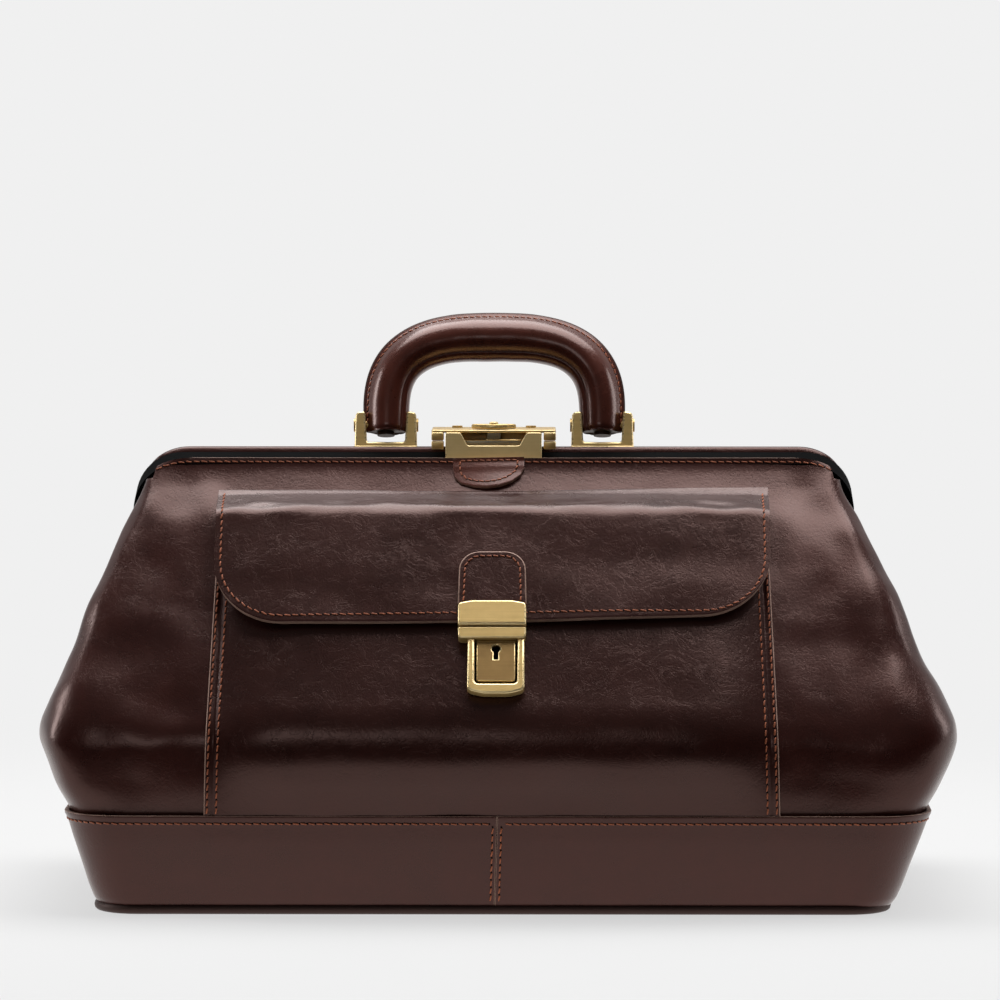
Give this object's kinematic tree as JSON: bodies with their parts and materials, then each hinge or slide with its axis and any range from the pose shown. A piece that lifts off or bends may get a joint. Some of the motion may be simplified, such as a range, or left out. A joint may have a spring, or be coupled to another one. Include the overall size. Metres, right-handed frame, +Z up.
{
  "type": "doctor bag",
  "caption": "Framed leather doctor bag with hinged steel jaws, a folding padded handle, a sliding top lock and a flapped front pocket with a tuck lock.",
  "frame": {"origin": "middle of the base's underside, on the surface that the bag stands on", "axes": "+Z up, +X along the bag to its right as seen from the front, -Y towards the front pocket"},
  "size_m": [0.42, 0.213, 0.2634],
  "materials": {
    "leather": "polished dark brown, fine grain",
    "leather_edge": "dark painted edge",
    "lining": "woven cotton lining",
    "board": "grey board stiffener",
    "frame_paint": "black satin paint",
    "steel": "plain",
    "brass": "brushed antique",
    "core": "stiff handle core"
  },
  "bodies": {
    "root": {"base_panel": "leather", "base_board": "board", "base_lining": "lining", "base_welt": "leather_edge", "base_band_left": "leather", "base_band_right": "leather", "end_gusset_left": "leather", "end_gusset_right": "leather"},
    "front_wall": {"front_panel": "leather", "front_lining": "lining", "pocket_panel": "leather", "flap_seam_strip": "leather", "pocket_lock_case": "brass", "pocket_lock_bar": "brass", "pocket_lock_backplate": "steel", "pocket_lock_rivets": "steel", "front_tab": "leather"},
    "back_wall": {"back_panel": "leather", "back_lining": "lining"},
    "front_jaw": {"front_jaw_frame": "frame_paint", "end_pivot_pins": "steel", "hasp_plate": "brass", "hasp_rivets": "brass"},
    "back_jaw": {"back_jaw_frame": "frame_paint", "back_jaw_cover": "leather", "lock_case": "brass", "lock_top_plate": "brass", "lock_screws": "brass", "bracket_left": "brass", "bracket_right": "brass", "handle_pins": "brass", "bracket_rivets": "brass"},
    "lock_slider": {"lock_bolt": "brass", "lock_thumb": "brass"},
    "handle": {"handle_cover": "leather", "handle_core": "core"},
    "flap": {"pocket_flap": "leather", "flap_tab": "leather", "flap_hasp": "brass", "flap_rivets": "brass"},
    "pocket_button": {"pocket_lock_button": "brass"}
  },
  "joints": [
    {"name": "front_wall_swing", "type": "hinge", "parent": "root", "child": "front_wall", "pos_m": [0, -0.097, 0.045], "axis": [1, 0, 0], "range_deg": [0, 13]},
    {"name": "front_jaw_turn", "type": "hinge", "parent": "front_wall", "child": "front_jaw", "pos_m": [0, -0.018, 0.1975], "axis": [1, 0, 0], "range_deg": [0, 24.75]},
    {"name": "back_wall_swing", "type": "hinge", "parent": "root", "child": "back_wall", "pos_m": [0, 0.097, 0.045], "axis": [-1, 0, 0], "range_deg": [0, 13]},
    {"name": "back_jaw_turn", "type": "hinge", "parent": "back_wall", "child": "back_jaw", "pos_m": [0, 0.018, 0.1975], "axis": [-1, 0, 0], "range_deg": [0, 24.75]},
    {"name": "handle_swing", "type": "hinge", "parent": "back_jaw", "child": "handle", "pos_m": [0, 0.01325, 0.21322], "axis": [1, 0, 0], "range_deg": [-70, 85]},
    {"name": "lock_slide", "type": "slide", "parent": "back_jaw", "child": "lock_slider", "axis": [1, 0, 0], "range_m": [0, 0.008], "stiffness_N_per_m": 120},
    {"name": "flap_swing", "type": "hinge", "parent": "front_wall", "child": "flap", "pos_m": [0, -0.03304, 0.18417], "axis": [-1, 0, 0], "range_deg": [0, 120]},
    {"name": "pocket_button_press", "type": "slide", "parent": "front_wall", "child": "pocket_button", "axis": [0, -0.5608, -0.8279], "range_m": [0, 0.0015], "stiffness_N_per_m": 400}
  ],
  "couplings": [
    {"joint": "front_jaw_turn", "follows": "front_wall_swing", "ratio": 1.9035},
    {"joint": "back_wall_swing", "follows": "front_wall_swing", "ratio": 1},
    {"joint": "back_jaw_turn", "follows": "front_wall_swing", "ratio": 1.9035}
  ]
}
